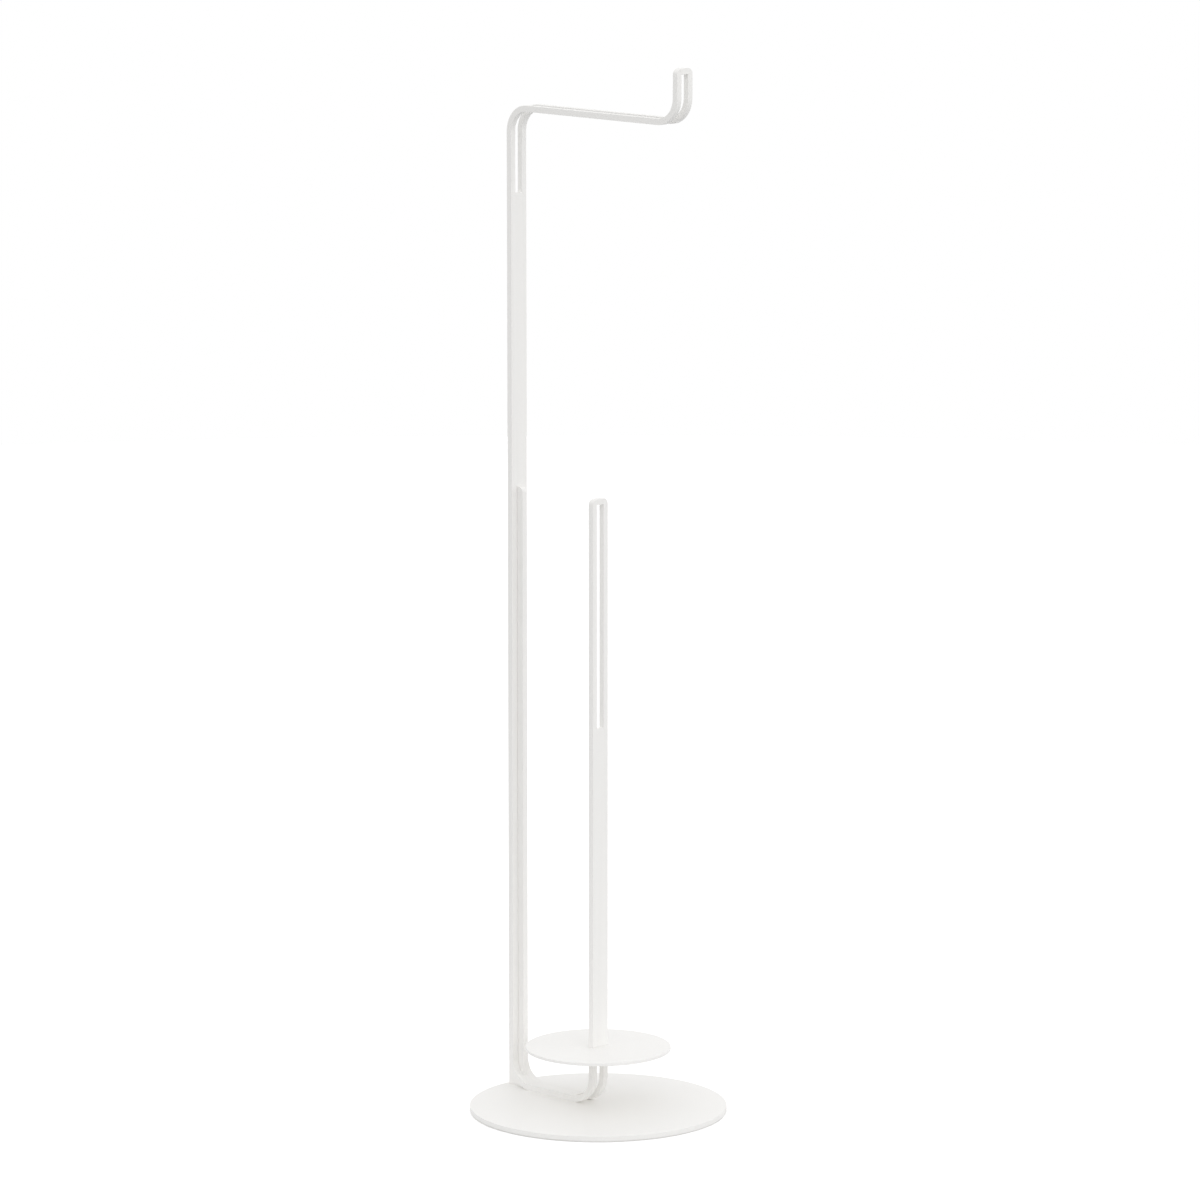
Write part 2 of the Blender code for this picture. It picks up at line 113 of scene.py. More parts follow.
class Workpiece:
    """One mesh on the bench: selected in code, shaped in edit mode, and finished with modifiers."""

    def __init__(self, name: str) -> None:
        """Take the primitive that was added last, with its place and turn put into its mesh.

        Args:
            name: The piece's name.
        """
        self.obj: bpy.types.Object = bpy.context.object
        self.obj.name = name
        self.obj.data.name = name
        bpy.ops.object.transform_apply(location=True, rotation=True, scale=True)

    def _take_up(self) -> None:
        """Make the piece the only selected object, and the active one."""
        clear_bench()
        self.obj.select_set(True)
        bpy.context.view_layer.objects.active = self.obj

    @contextmanager
    def edit(self) -> Iterator[None]:
        """Open the piece in edit mode for the lines of a with block."""
        self._take_up()
        bpy.ops.object.mode_set(mode="EDIT")
        try:
            yield
        finally:
            bpy.ops.object.mode_set(mode="OBJECT")

    def select(self, element: Element, test: Test) -> None:
        """Select the parts that pass a test, and nothing else.

        Args:
            element: The kind of part to look at.
            test: A function of a part's points.
        """
        bpy.ops.mesh.select_mode(type=element.value)
        bpy.ops.mesh.select_all(action="DESELECT")
        work = bmesh.from_edit_mesh(self.obj.data)
        parts = {
            Element.POINT: work.verts,
            Element.LINE: work.edges,
            Element.FACE: work.faces,
        }
        for part in parts[element]:
            points = [part.co] if element is Element.POINT else [vert.co for vert in part.verts]
            if test(points):
                part.select_set(True)
        bmesh.update_edit_mesh(self.obj.data)

    def apply(self, kind: str, **settings: object) -> None:
        """Add a modifier and apply it.

        Args:
            kind: The modifier's type.
            settings: The modifier's properties.
        """
        self._take_up()
        modifier = self.obj.modifiers.new(kind.lower(), kind)
        for name, value in settings.items():
            setattr(modifier, name, value)
        bpy.ops.object.modifier_apply(modifier=modifier.name)

    def ease_edges(self, radius: float) -> None:
        """Round the sharp edges, and let the flat faces stay flat in the shading."""
        self.apply(
            "BEVEL",
            width=radius,
            segments=EASED_STEPS,
            limit_method="ANGLE",
            angle_limit=math.radians(SHARP_ANGLE),
            miter_outer="MITER_ARC",
        )
        self.shade()

    def shade(self, sharper_than: float = SHARP_ANGLE) -> None:
        """Shade the piece smooth, with the large faces' directions leading.

        Args:
            sharper_than: The least angle that stays a sharp edge, in degrees.
        """
        self._take_up()
        bpy.ops.object.shade_smooth_by_angle(angle=math.radians(sharper_than))
        self.apply(
            "WEIGHTED_NORMAL", mode="FACE_AREA", weight=LARGE_FACE_WEIGHT, keep_sharp=True
        )

    def cut(self, cutter: "Workpiece") -> None:
        """Take another piece's shape out of this one, and clear that piece away."""
        self.apply("BOOLEAN", operation="DIFFERENCE", solver="EXACT", object=cutter.obj)
        bpy.data.objects.remove(cutter.obj, do_unlink=True)

    def copied(self, name: str, shift: Vector) -> "Workpiece":
        """Return a copy of the piece with its own mesh, moved by a shift."""
        self._take_up()
        bpy.ops.object.duplicate_move(TRANSFORM_OT_translate={"value": shift})
        return Workpiece(name)

    def fit(self, node: str, slot: Slot, material: Material) -> None:
        """Give the piece its finish, and put it in the place of a node.

        Args:
            node: The node that the piece replaces.
            slot: The material slot that it takes its finish from; not used.
            material: Its finish.
        """
        self.obj.data.materials.clear()
        self.obj.data.materials.append(material)
        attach(self.obj, BODY)
        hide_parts(node)
        low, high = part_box(node)
        size = (high - low) * MM_PER_M
        log.info("%s stands for %s, %.1f x %.1f x %.1f mm", self.obj.name, node, *size)


def clear_bench() -> None:
    """Deselect every object, the frame's nodes among them."""
    for obj in bpy.context.selected_objects:
        obj.select_set(False)
    bpy.context.view_layer.objects.active = None


def all_at(axis: Vector, distance: float) -> Test:
    """Return a test for parts whose points all lie in one plane.

    Args:
        axis: The plane's unit normal.
        distance: The plane's distance from the origin along the normal.

    Returns:
        The test.
    """
    return lambda points: all(abs(point.dot(axis) - distance) < TOUCH for point in points)


class NodeBench:
    """A node tree while it is wired up."""

    def __init__(self, tree: bpy.types.NodeTree) -> None:
        """Take the tree of a material or a world."""
        self.tree = tree

    def add(
        self, kind: str, inputs: dict[str | int, object] | None = None, **settings: object
    ) -> bpy.types.Node:
        """Add a node.

        Args:
            kind: The node's type.
            inputs: Values or output sockets for its inputs, by name or number.
            settings: The node's properties.

        Returns:
            The node.
        """
        node = self.tree.nodes.new(kind)
        for name, value in settings.items():
            setattr(node, name, value)
        for key, value in (inputs or {}).items():
            if isinstance(value, Socket):
                self.tree.links.new(value, node.inputs[key])
            else:
                node.inputs[key].default_value = value
        return node

    def reckon(self, operation: str, *values: "float | Socket") -> Socket:
        """Return what a sum, product or other operation makes of numbers and sockets."""
        return self.add("ShaderNodeMath", dict(enumerate(values)), operation=operation).outputs[0]

    def spread(
        self,
        value: Socket,
        limits: tuple[float, float],
        ends: tuple[float, float] = (0.0, 1.0),
        **settings: object,
    ) -> Socket:
        """Return a value that runs between two ends while another runs between two limits.

        Args:
            value: The value that runs between the limits.
            limits: Its limits, low and high.
            ends: What comes back at the low limit and at the high one.
            settings: The node's properties.

        Returns:
            The value between the ends.
        """
        inputs = {
            "Value": value,
            "From Min": limits[0],
            "From Max": limits[1],
            "To Min": ends[0],
            "To Max": ends[1],
        }
        return self.add("ShaderNodeMapRange", inputs, **settings).outputs["Result"]

    def seen_share(self) -> Socket:
        """Return 1 for what the camera, gloss or clear things look at, and 0 for bounced light."""
        path = self.add("ShaderNodeLightPath").outputs
        glossy_or_clear = self.reckon("MAXIMUM", path["Is Glossy Ray"], path["Is Transmission Ray"])
        return self.reckon("MAXIMUM", path["Is Camera Ray"], glossy_or_clear)

    def show(self, bounced: bpy.types.Node, seen: bpy.types.Node, output: bpy.types.Node) -> None:
        """Link one shader for the light that bounces and another for what is seen.

        Args:
            bounced: The shader that lights the other things.
            seen: The shader that is looked at.
            output: The tree's output.
        """
        inputs = {0: self.seen_share(), 1: bounced.outputs[0], 2: seen.outputs[0]}
        mix = self.add("ShaderNodeMixShader", inputs)
        self.tree.links.new(mix.outputs[0], output.inputs["Surface"])


class FinishBench(NodeBench):
    """A material's node tree while a finish is made."""

    def __init__(self, name: str) -> None:
        """Start a material with an empty shader on its output.

        Args:
            name: The material's name.
        """
        self.material: Material = bpy.data.materials.new(name)
        self.material.use_nodes = True
        super().__init__(self.material.node_tree)
        self.shader = self.tree.nodes["Principled BSDF"]
        self.place = self.add("ShaderNodeTexCoord").outputs["Object"]

    def noise(self, feature: float, detail: float = 2.0, roughness: float = 0.5) -> Socket:
        """Return a soft noise from 0 to 1 whose blots are about as wide as a feature in metres."""
        inputs = {
            "Vector": self.place,
            "Scale": 1 / feature,
            "Detail": detail,
            "Roughness": roughness,
        }
        return self.add("ShaderNodeTexNoise", inputs).outputs["Fac"]

    def pebbles(self, feature: float) -> Socket:
        """Return rounded pits and pebbles about as wide as a feature in metres."""
        inputs = {"Vector": self.place, "Scale": 1 / feature, "Smoothness": 1.0}
        return self.add("ShaderNodeTexVoronoi", inputs, feature="SMOOTH_F1").outputs["Distance"]

    def mix(self, kind: Blend, share: Socket, first: object, second: object) -> Socket:
        """Return a value that goes from the first to the second as the share goes from 0 to 1.

        Args:
            kind: What the two values are.
            share: The second value's share.
            first: The value where the share is 0.
            second: The value where the share is 1.

        Returns:
            The blended value.
        """
        data_type, first_input, second_input, result = kind.value
        inputs = {0: share, first_input: first, second_input: second}
        return self.add("ShaderNodeMix", inputs, data_type=data_type).outputs[result]

    def blend(
        self, share: Socket, first: "Colour | Socket", second: "Colour | Socket"
    ) -> Socket:
        """Return a colour that goes from the first to the second as the share goes from 0 to 1."""
        colours = [tone if isinstance(tone, Socket) else (*tone, 1.0) for tone in (first, second)]
        return self.mix(Blend.COLOUR, share, *colours)

    def bump(self, height: Socket, distance: float, below: Socket | None = None) -> Socket:
        """Return a normal bumped by a height, over another bump where one is given."""
        inputs: dict[str | int, object] = {"Height": height, "Distance": distance, "Strength": 1.0}
        if below is not None:
            inputs["Normal"] = below
        return self.add("ShaderNodeBump", inputs).outputs["Normal"]

    def edges(self) -> Socket:
        """Return 1 on the rounded outer edges and 0 on flat faces."""
        pointiness = self.add("ShaderNodeNewGeometry").outputs["Pointiness"]
        return self.spread(pointiness, EDGE_POINTINESS)

    def drive(self, **sockets: Socket) -> None:
        """Link sockets to the shader's inputs, named with underscores for spaces."""
        for name, socket in sockets.items():
            self.tree.links.new(socket, self.shader.inputs[name.replace("_", " ").title()])


def shade_of(colour: Colour, factor: float) -> Colour:
    """Return a colour made lighter or darker by a factor."""
    return tuple(channel * factor for channel in colour)


@dataclass(frozen=True)
class PowderCoat:
    """Matt white powder coat: finely pebbled, a little cloudy, smoother at edges, with a painted
    highlight there.
    """

    colour: Colour = (0.915, 0.907, 0.89)
    cloud_width: float = 0.030
    grain_width: float = 0.0008
    grain_detail: float = 3.0
    grain_breakup: float = 0.6
    pebble_width: float = 0.0011
    grain_height: float = 0.00002
    pebble_height: float = 0.00003
    cloud_contrast: float = 0.006
    grain_contrast: float = 0.04
    # Painted highlight: the rounded edges' colour is this much lighter.
    edge_lift: float = 1.004
    roughness: tuple[float, float] = (0.44, 0.56)
    edge_roughness: float = 0.46
    specular: float = 0.5

    def make(self, name: str) -> Material:
        """Return the finish as a material."""
        bench = FinishBench(name)
        cloud = bench.noise(self.cloud_width)
        grain = bench.noise(self.grain_width, self.grain_detail, self.grain_breakup)
        pebble = bench.pebbles(self.pebble_width)
        edge = bench.edges()
        clouded = bench.blend(
            bench.spread(cloud, NOISE_RANGE),
            shade_of(self.colour, 1 - self.cloud_contrast),
            shade_of(self.colour, 1 + self.cloud_contrast),
        )
        speckles = bench.spread(grain, NOISE_RANGE, (self.grain_contrast, 0.0))
        speckled = bench.blend(speckles, clouded, BLACK)
        # Painted highlight: the rounded edges take a slightly lighter colour.
        wear_and_highlight = bench.blend(edge, speckled, shade_of(self.colour, self.edge_lift))
        rough = bench.spread(cloud, NOISE_RANGE, self.roughness)
        rough_at_edges = bench.mix(Blend.NUMBER, edge, rough, self.edge_roughness)
        skin = bench.bump(grain, self.grain_height, bench.bump(pebble, self.pebble_height))
        bench.drive(base_color=wear_and_highlight, roughness=rough_at_edges, normal=skin)
        bench.shader.inputs["Specular IOR Level"].default_value = self.specular
        return bench.material


@dataclass(frozen=True)
class SolidRubber:
    """White solid rubber: matt, finely pitted, and blotched with a little dust."""

    colour: Colour = (0.83, 0.825, 0.81)
    dust: Colour = (0.79, 0.785, 0.765)
    dust_range: tuple[float, float] = (0.4, 0.7)
    blot_width: float = 0.012
    blot_detail: float = 4.0
    pit_width: float = 0.0008
    pit_height: float = 0.00008
    roughness: tuple[float, float] = (0.78, 0.92)

    def make(self, name: str) -> Material:
        """Return the finish as a material."""
        bench = FinishBench(name)
        blots = bench.noise(self.blot_width, self.blot_detail)
        pits = bench.pebbles(self.pit_width)
        dusty = bench.blend(bench.spread(blots, self.dust_range), self.colour, self.dust)
        rough = bench.spread(blots, NOISE_RANGE, self.roughness)
        bench.drive(base_color=dusty, roughness=rough, normal=bench.bump(pits, self.pit_height))
        return bench.material


@dataclass(frozen=True)
class ZincPlate:
    """Zinc plate on a turned screw: fine turning lines, blotched, worn bright at the edges."""

    colour: Colour = (0.62, 0.63, 0.65)
    wear_and_highlight: Colour = (0.74, 0.74, 0.74)
    blotch_width: float = 0.0012
    blotch_detail: float = 3.0
    blotch_tone: float = 0.9
    line_width: float = 0.00012
    line_distortion: float = 1.0
    line_height: float = 0.000004
    roughness: tuple[float, float] = (0.28, 0.42)

    def make(self, name: str) -> Material:
        """Return the finish as a material."""
        bench = FinishBench(name)
        blotch = bench.noise(self.blotch_width, self.blotch_detail)
        inputs = {
            "Vector": bench.place,
            "Scale": 1 / self.line_width / (2 * math.pi),
            "Distortion": self.line_distortion,
        }
        lines = bench.add(
            "ShaderNodeTexWave", inputs, wave_type="BANDS", bands_direction="Z"
        ).outputs["Fac"]
        tone = bench.blend(blotch, shade_of(self.colour, self.blotch_tone), self.colour)
        bench.drive(
            base_color=bench.blend(bench.edges(), tone, self.wear_and_highlight),
            roughness=bench.spread(blotch, NOISE_RANGE, self.roughness),
            normal=bench.bump(lines, self.line_height),
        )
        bench.shader.inputs["Metallic"].default_value = 1.0
        return bench.material


@dataclass(frozen=True)
class Finishes:
    """The finishes of all pieces, each made once."""

    coat: Material = field(default_factory=lambda: PowderCoat().make("white_powder_coat"))
    rubber: Material = field(default_factory=lambda: SolidRubber().make("white_rubber"))
    zinc: Material = field(default_factory=lambda: ZincPlate().make("zinc_plate"))


class StripMaker:
    """Draws a flat strip along its route in the XZ plane: straight runs, bends and open slots.

    The strip is three lanes wide. While a slot is open, only the two outer lanes go on.
    """

    def __init__(
        self, name: str, tip: Vector, heading: Vector, width: float, lane: float, land: float
    ) -> None:
        """Start the strip with a short closed land at its first end.

        Args:
            name: The piece's name.
            tip: The middle of the first end.
            heading: The direction in which the strip starts.
            width: The strip's width across Y.
            lane: The width of the middle lane.
            land: The length of the closed land before the first slot.
        """
        self.heading = heading
        self.half_width = width / 2
        self.half_lane = lane / 2
        self.slot_open = False
        self.end = tip + heading * land
        turn = (0, QUARTER_TURN, 0) if abs(heading.z) > abs(heading.x) else (0, 0, 0)
        middle = tip + heading * width / 2
        clear_bench()
        bpy.ops.mesh.primitive_plane_add(size=width, location=middle, rotation=turn)
        self.piece = Workpiece(name)
        with self.piece.edit():
            self._slice(self.end, heading, True)
            self._slice(ACROSS * self.half_lane, ACROSS, False)
            self._slice(-ACROSS * self.half_lane, ACROSS, False)

    def _slice(self, place: Vector, normal: Vector, clear: bool) -> None:
        """Cut the whole strip by a plane, and clear what lies beyond it if asked."""
        bpy.ops.mesh.select_all(action="SELECT")
        bpy.ops.mesh.bisect(plane_co=place, plane_no=normal, clear_outer=clear)

    def _select_end(self) -> None:
        """Select the lanes' edges at the free end, without the middle one while a slot is open."""

        def at_end(points: list[Vector]) -> bool:
            near = all((point - self.end).cross(ACROSS).length < TOUCH for point in points)
            middle = sum(points, Vector()).dot(ACROSS) / len(points)
            return near and not (self.slot_open and abs(middle) < self.half_lane)

        self.piece.select(Element.LINE, at_end)

    def run(self, length: float) -> None:
        """Carry the strip straight on by a length."""
        way = self.heading * length
        with self.piece.edit():
            self._select_end()
            bpy.ops.mesh.extrude_region_move(TRANSFORM_OT_translate={"value": way})
        self.end = self.end + way

    def run_to(self, place: Vector) -> None:
        """Carry the strip straight on as far as a place, measured along the strip."""
        self.run((place - self.end).dot(self.heading))

    def bend(
        self,
        towards: Vector,
        radius: float,
        angle: float = QUARTER_TURN,
        steps: int = BEND_STEPS,
    ) -> None:
        """Carry the strip round a bend.

        Args:
            towards: The direction from the strip's end to the bend's centre.
            radius: The bend's radius at the middle of the strip's thickness.
            angle: How far the bend turns.
            steps: How many flats the bend is made of.
        """
        centre = self.end + towards * radius
        turn = math.copysign(angle, self.heading.cross(towards).dot(ACROSS))
        with self.piece.edit():
            self._select_end()
            bpy.ops.mesh.spin(steps=steps, angle=-turn, center=centre, axis=ACROSS)
        rotation = Matrix.Rotation(turn, 3, ACROSS)
        self.end = centre + rotation @ (self.end - centre)
        self.heading = rotation @ self.heading

    def open_slot(self) -> None:
        """Let the middle lane stop here."""
        self.slot_open = True

    def close_slot(self) -> None:
        """Join the two rails again with an edge across the middle lane."""
        with self.piece.edit():
            self.piece.select(Element.POINT, self._on_lane_end)
            bpy.ops.mesh.edge_face_add()
        self.slot_open = False

    def set_lane(self, lane: float) -> None:
        """Make the middle lane wider or narrower from the free end on."""
        with self.piece.edit():
            self.piece.select(Element.POINT, self._on_lane_end)
            scale = (1, lane / 2 / self.half_lane, 1)
            bpy.ops.transform.resize(value=scale, center_override=self.end)
        self.half_lane = lane / 2

    def _on_lane_end(self, points: list[Vector]) -> bool:
        """Tell whether a point is one of the middle lane's two corners at the free end."""
        offset = points[0] - self.end
        return offset.cross(ACROSS).length < TOUCH and abs(offset.y) < self.half_width - TOUCH

    def round_points(self, radius: float, steps: int, test: Test) -> None:
        """Round the strip's corners that pass a test.

        Args:
            radius: The corners' radius.
            steps: The flats of each corner.
            test: A function of a corner's point.
        """
        with self.piece.edit():
            self.piece.select(Element.POINT, test)
            bpy.ops.mesh.bevel(
                offset=radius,
                offset_type="OFFSET",
                segments=steps,
                profile=ROUND,
                affect="VERTICES",
            )
            bpy.ops.mesh.select_all(action="SELECT")
            bpy.ops.mesh.remove_doubles(threshold=TOUCH)

    def thicken(self, thickness: float) -> Workpiece:
        """Turn all faces of the strip one way, give it its thickness, and return it."""
        with self.piece.edit():
            bpy.ops.mesh.select_all(action="SELECT")
            bpy.ops.mesh.normals_make_consistent(inside=False)
        self.piece.apply("SOLIDIFY", thickness=thickness, offset=0.0, use_even_offset=True)
        return self.piece


@dataclass
class BaseScrews:
    """Two countersunk screws with a six-sided socket, driven up through the plate into the foot."""

    nodes: tuple[str, str] = ("base_screw_post_side", "base_screw_spindle_side")
    names: tuple[str, str] = ("post_side_screw", "spindle_side_screw")
    shank_radius: float = 0.0020
    head_radius: float = 0.0039
    head_height: float = 0.0022
    tip_chamfer: float = 0.0004
    socket_sides: int = 6
    socket_width: float = 0.0025
    socket_depth: float = 0.0012
    thread_pitch: float = 0.0007
    thread_depth: float = 0.00035
    hole_clearance: float = 0.0003
    hole_spare: float = 0.0004
    overrun: float = 0.0010
    edge_radius: float = 0.0001
    edge_steps: int = 2
    sharp_angle: float = 30
    sides: int = 48
    thread_rings: int = 32

    def place(self, node: str) -> Vector:
        """Return the middle of a screw's underside."""
        low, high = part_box(node)
        return Vector(((low.x + high.x) / 2, (low.y + high.y) / 2, low.z))

    def turned(self, name: str, foot: Vector, drop: float, top: float, grow: float) -> Workpiece:
        """Return a round shank on a conical head, a screw's blank or the cutter for its hole.

        Args:
            name: The piece's name.
            foot: The middle of the screw's underside.
            drop: How far the cone goes on below the screw's underside.
            top: The height of the shank's end.
            grow: How much larger than the screw the shape is all round.

        Returns:
            The shape as a workpiece.
        """
        shank = self.shank_radius + grow
        neck = foot.z + self.head_height
        slope = (self.head_radius - self.shank_radius) / self.head_height
        scale = (self.head_radius + grow + slope * drop) / shank
        cone = -UP * (self.head_height + drop)
        clear_bench()
        bpy.ops.mesh.primitive_cylinder_add(
            vertices=self.sides,
            radius=shank,
            depth=top - neck,
            location=(foot.x, foot.y, (top + neck) / 2),
        )
        blank = Workpiece(name)
        with blank.edit():
            blank.select(Element.FACE, all_at(UP, neck))
            bpy.ops.mesh.extrude_region_move(TRANSFORM_OT_translate={"value": cone})
            bpy.ops.transform.resize(value=(scale, scale, 1), center_override=foot)
        return blank

    def drill(self, piece: Workpiece) -> None:
        """Cut the countersunk holes into a piece, as deep as the screws go and a little more."""
        for node in self.nodes:
            foot = self.place(node)
            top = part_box(node)[1].z + self.hole_spare
            drop = foot.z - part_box("base_plate")[0].z + self.overrun
            piece.cut(self.turned("screw_hole", foot, drop, top, self.hole_clearance))

    def build(self, finishes: Finishes) -> None:
        """Model one screw, copy it for the other place, and dress both."""
        first, second = (self.place(node) for node in self.nodes)
        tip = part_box(self.nodes[0])[1].z
        screw = self.turned(self.names[0], first, 0, tip, 0)
        with screw.edit():
            screw.select(Element.LINE, all_at(UP, tip))
            bpy.ops.mesh.bevel(offset=self.tip_chamfer, segments=1, affect="EDGES")
        self._cut_thread(screw, first, tip)
        clear_bench()
        bpy.ops.mesh.primitive_cylinder_add(
            vertices=self.socket_sides,
            radius=self.socket_width / 2 / math.cos(math.pi / self.socket_sides),
            depth=2 * self.socket_depth,
            location=first,
        )
        screw.cut(Workpiece("socket"))
        with screw.edit():
            screw.select(Element.LINE, all_at(UP, first.z))
            bpy.ops.mesh.bevel(
                offset=self.edge_radius, segments=self.edge_steps, profile=ROUND, affect="EDGES"
            )
        screw.shade(self.sharp_angle)
        other = screw.copied(self.names[1], second - first)
        for node, piece in zip(self.nodes, (screw, other)):
            piece.fit(node, Slot.SCREW_STEEL, finishes.zinc)

    def _cut_thread(self, screw: Workpiece, foot: Vector, tip: float) -> None:
        """Draw the shank's wall in along a helix, fading out towards the head and the tip."""
        start = foot.z + self.head_height
        end = tip - self.tip_chamfer

        def on_wall(points: list[Vector]) -> bool:
            heights = sorted(point.z for point in points)
            return abs(heights[0] - start) < TOUCH and abs(heights[1] - end) < TOUCH

        with screw.edit():
            screw.select(Element.LINE, on_wall)
            bpy.ops.mesh.subdivide(number_cuts=self.thread_rings)
            work = bmesh.from_edit_mesh(screw.obj.data)
            for vert in work.verts:
                if not start + TOUCH < vert.co.z < end - TOUCH:
                    continue
                radial = (vert.co - foot) * Vector((1, 1, 0))
                turn = math.atan2(radial.y, radial.x) / (2 * math.pi)
                done, left = vert.co.z - start, end - vert.co.z
                phase = (done / self.thread_pitch - turn) % 1
                fade = min(1, done / self.thread_pitch, left / self.thread_pitch)
                groove = 1 - abs(2 * phase - 1)
                vert.co -= radial.normalized() * self.thread_depth * fade * groove
            bmesh.update_edit_mesh(screw.obj.data)


@dataclass
class FrameBar:
    """The flat bar from hook to spindle in one, bent four times and slotted four times.

    The slots' feet are heights above the base plate. The foot is sunk into the plate a little, so
    that no light shows under it, and a seam is left on both sides of the stiffener.
    """

    node: str = "frame_bar"
    thickness: float = 0.0040
    bend_radius: float = 0.0160
    foot_bend_radius: float = 0.0170
    tip_radius: float = 0.0040
    slot_width: float = 0.0060
    arm_below_tip: float = 0.0350
    arm_slot_foot: float = 0.6000
    spindle_slot_foot: float = 0.2535
    foot_slot_lead: float = 0.0012
    shelf_land: float = 0.0040
    foot_sink: float = 0.0001
    stiffener_seam: float = 0.0001
    edge_radius: float = 0.00015
    tip_steps: int = 10
    slotted_steps: int = 14

    def build(self, finishes: Finishes) -> None:
        """Model the bar from the hook's tip to the spindle's tip, and dress it."""
        low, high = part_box(self.node)
        base_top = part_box("base_plate")[1].z
        stiffener_low, stiffener_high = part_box("post_stiffener")
        shelf_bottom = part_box("roll_shelf")[0].z
        width = high.y - low.y
        half = self.thickness / 2
        land = (width - self.slot_width) / 2
        hook_x, post_x = high.x - half, low.x + half
        arm_z = high.z - self.arm_below_tip
        foot_z = base_top + half - self.foot_sink
        spindle_tip = stiffener_high.z
        angle = self.stiffener_slot_angle(post_x, stiffener_high.x)
        stiffener_lane = stiffener_high.y - stiffener_low.y + 2 * self.stiffener_seam
        hook_tip = Vector((hook_x, 0, high.z))

        strip = StripMaker("bent_bar", hook_tip, -UP, width, self.slot_width, land)
        strip.open_slot()
        strip.run_to(UP * (arm_z + self.bend_radius))
        strip.bend(-ALONG, self.bend_radius)
        strip.run_to(ALONG * (post_x + self.bend_radius))
        strip.bend(-UP, self.bend_radius)
        strip.run_to(UP * (base_top + self.arm_slot_foot))
        strip.close_slot()
        strip.run_to(UP * spindle_tip)
        strip.set_lane(stiffener_lane)
        strip.open_slot()
        strip.run_to(UP * (foot_z + self.foot_bend_radius))
        strip.bend(ALONG, self.foot_bend_radius, angle, self.slotted_steps)
        strip.close_slot()
        strip.bend(
            self.upward_normal(strip.heading),
            self.foot_bend_radius,
            QUARTER_TURN - angle,
            BEND_STEPS - self.slotted_steps,
        )
        strip.run_to(-ALONG * (self.foot_bend_radius + self.foot_slot_lead))
        strip.set_lane(self.slot_width)
        strip.open_slot()
        strip.run(self.foot_slot_lead)
        strip.bend(UP, self.foot_bend_radius)
        strip.run_to(UP * (shelf_bottom - self.shelf_land))
        strip.close_slot()
        strip.run_to(UP * (base_top + self.spindle_slot_foot))
        strip.open_slot()
        strip.run_to(UP * (spindle_tip - land))
        strip.close_slot()
        strip.run(land)
        tips = (hook_tip, strip.end)

        def on_tip_corner(points: list[Vector]) -> bool:
            side = abs(abs(points[0].y) - width / 2) < TOUCH
            return side and any((points[0] - tip).cross(ACROSS).length < TOUCH for tip in tips)

        strip.round_points(self.tip_radius, self.tip_steps, on_tip_corner)
        bar = strip.thicken(self.thickness)
        bar.ease_edges(self.edge_radius)
        BaseScrews().drill(bar)
        bar.shade()
        bar.fit(self.node, Slot.POWDER_COAT, finishes.coat)

    def stiffener_slot_angle(self, post_x: float, stiffener_front: float) -> float:
        """Return how far round the foot's bend the slot runs: to the stiffener's front, inside."""
        centre_x = post_x + self.foot_bend_radius
        inner_radius = self.foot_bend_radius - self.thickness / 2
        return math.acos((centre_x - stiffener_front) / inner_radius)

    @staticmethod
    def upward_normal(heading: Vector) -> Vector:
        """Return the direction square to a heading in the XZ plane, on its upper side."""
        return Vector((-heading.z, 0, heading.x))


@dataclass
class PostStiffener:
    """The flat bar on edge in the post's lower slot, standing on the base plate."""

    node: str = "post_stiffener"
    tip_radius: float = 0.0040
    edge_radius: float = 0.00015
    tip_steps: int = 10
    foot_relief: float = 0.0030

    def build(self, finishes: Finishes) -> None:
        """Model the stiffener as a plate with rounded top corners, and dress it."""
        low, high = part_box(self.node)
        base_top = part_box("base_plate")[1].z
        thickness = high.y - low.y
        width = high.x - low.x
        height = high.z - base_top
        middle = Vector(((low.x + high.x) / 2, 0, base_top + height / 2))
        turn = (QUARTER_TURN, 0, 0)
        clear_bench()
        bpy.ops.mesh.primitive_plane_add(size=width, location=middle, rotation=turn)
        plate = Workpiece("stiffener_bar")
        with plate.edit():
            plate.select(Element.POINT, lambda points: points[0].z > middle.z)
            bpy.ops.transform.translate(value=UP * (height - width) / 2)
            plate.select(Element.POINT, lambda points: points[0].z < middle.z)
            bpy.ops.transform.translate(value=-UP * (height - width) / 2)
            plate.select(Element.POINT, lambda points: points[0].z > middle.z)
            bpy.ops.mesh.bevel(
                offset=self.tip_radius, segments=self.tip_steps, profile=ROUND, affect="VERTICES"
            )
            corner = Vector((high.x, 0, base_top))
            plate.select(Element.POINT, lambda points: (points[0] - corner).length < TOUCH)
            bpy.ops.mesh.bevel(offset=self.foot_relief, segments=1, affect="VERTICES")
        plate.apply("SOLIDIFY", thickness=thickness, offset=0.0, use_even_offset=True)
        plate.ease_edges(self.edge_radius)
        plate.fit(self.node, Slot.POWDER_COAT, finishes.coat)


@dataclass
class RoundPlate:
    """A flat disc with an eased rim, from which the base, the shelf and the pad are made."""

    name: str
    node: str
    edge_radius: float
    edge_steps: int = 4
    sides: int = 256

    def blank(self, bottom: float, top: float) -> Workpiece:
        """Return the disc over the node's place, with its rim eased.

        Args:
            bottom: The height of its underside.
            top: The height of its upper side.

        Returns:
            The disc as a workpiece.
        """
        low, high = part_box(self.node)
        centre = (low + high) / 2
        clear_bench()
        bpy.ops.mesh.primitive_cylinder_add(
            vertices=self.sides,
            radius=(high.x - low.x) / 2,
            depth=top - bottom,
            location=(centre.x, centre.y, (top + bottom) / 2),
        )
        disc = Workpiece(self.name)
        with disc.edit():
            for height in (bottom, top):
                disc.select(Element.LINE, all_at(UP, height))
                bpy.ops.mesh.bevel(
                    offset=self.edge_radius,
                    segments=self.edge_steps,
                    profile=ROUND,
                    affect="EDGES",
                )
        return disc


